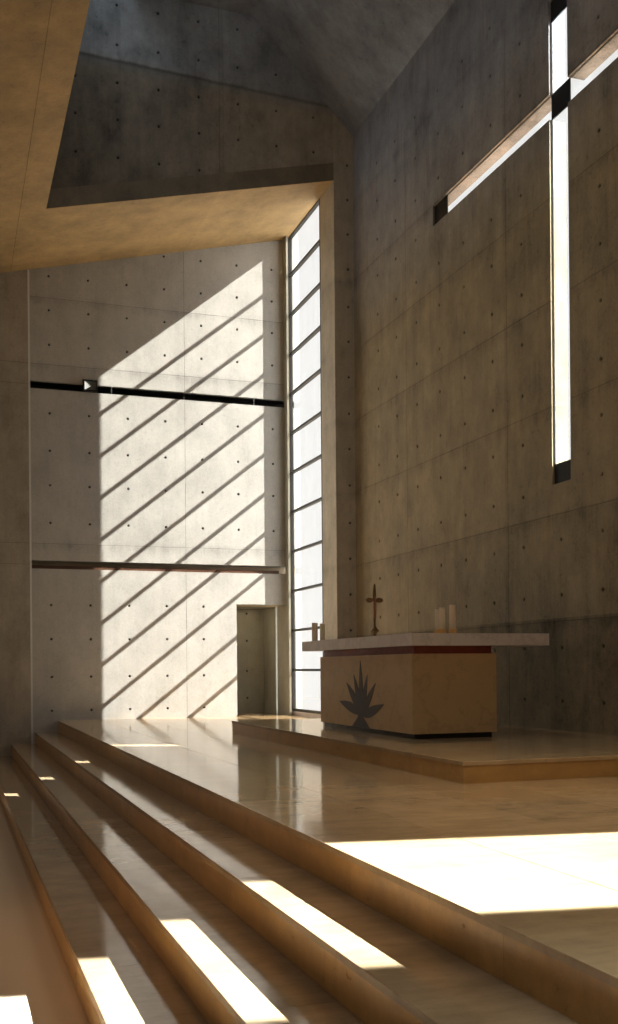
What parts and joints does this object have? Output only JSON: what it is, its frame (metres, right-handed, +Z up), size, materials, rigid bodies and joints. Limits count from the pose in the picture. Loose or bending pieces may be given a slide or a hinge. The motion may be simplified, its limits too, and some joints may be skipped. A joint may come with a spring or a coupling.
{
  "type": "church chancel bay",
  "caption": "Chancel corner of a modern raw-concrete church: stone steps, dais, altar, tall side window, wall pierced by a glazed cross, sloping soffit and light well.",
  "frame": {"origin": "middle of the base of the whole piece, at nave floor level", "axes": "+X towards the altar wall with the cross, +Y towards the north wall with the doorway, +Z up"},
  "size_m": [6.339, 17.55, 11.91],
  "materials": {
    "concrete": "smooth raw concrete, matt, with tie holes and pour joints",
    "marble": "polished beige marble",
    "altar_stone": "honed cream limestone",
    "slab_stone": "honed white stone",
    "neck_stone": "polished dark red stone",
    "plinth_stone": "polished near-black stone",
    "inlay_stone": "honed dark brown stone",
    "frame_metal": "dark grey satin paint",
    "black_panel": "black satin paint",
    "white_trim": "off-white satin paint",
    "glass": "clear, whitened by the daylight behind it",
    "brass": "polished",
    "bronze": "aged dark bronze",
    "wax": "ivory candle wax"
  },
  "bodies": {
    "root": {"step_core": "concrete", "platform_core": "concrete", "north_wall_lower": "concrete", "north_wall_middle": "concrete", "north_wall_upper": "concrete", "north_wall_west_end": "concrete", "north_wall_back": "concrete", "passage_east_wall": "concrete", "passage_west_wall": "concrete", "passage_back_wall": "concrete", "passage_roof": "concrete", "soffit_north_strip": "concrete", "soffit_west_strip": "concrete", "well_north_wall": "concrete", "well_west_wall": "concrete", "roof": "concrete", "pier": "concrete", "window_jamb_nib": "concrete", "altar_wall_lower": "concrete", "altar_wall_upper": "concrete", "altar_wall_top": "concrete", "riser_1": "marble", "riser_2": "marble", "riser_3": "marble", "riser_4": "marble", "tread_1": "marble", "tread_2": "marble", "tread_3": "marble", "platform_paving": "marble", "dais_core": "marble", "dais_paving": "marble", "window_sill": "marble", "altar_block": "altar_stone", "altar_slab": "slab_stone", "altar_neck": "neck_stone", "altar_plinth": "plinth_stone", "altar_inlay": "inlay_stone", "window_frame": "frame_metal", "cross_panel_centre": "black_panel", "cross_panel_north": "black_panel", "cross_panel_south": "black_panel", "cross_panel_top": "black_panel", "cross_panel_foot": "black_panel", "wall_joint_strip": "white_trim", "slot_spotlight": "white_trim", "window_glass": "glass", "cross_glass": "glass", "roof_light_glass": "glass", "passage_slit_glass": "glass", "candle_holder_1": "brass", "candle_holder_2": "brass", "candle_holder_3": "brass", "altar_cross": "bronze", "altar_cross_figure": "bronze", "candle_1": "wax", "candle_2": "wax", "candle_3": "wax", "candle_4": "wax", "candle_5": "wax"}
  },
  "joints": []
}
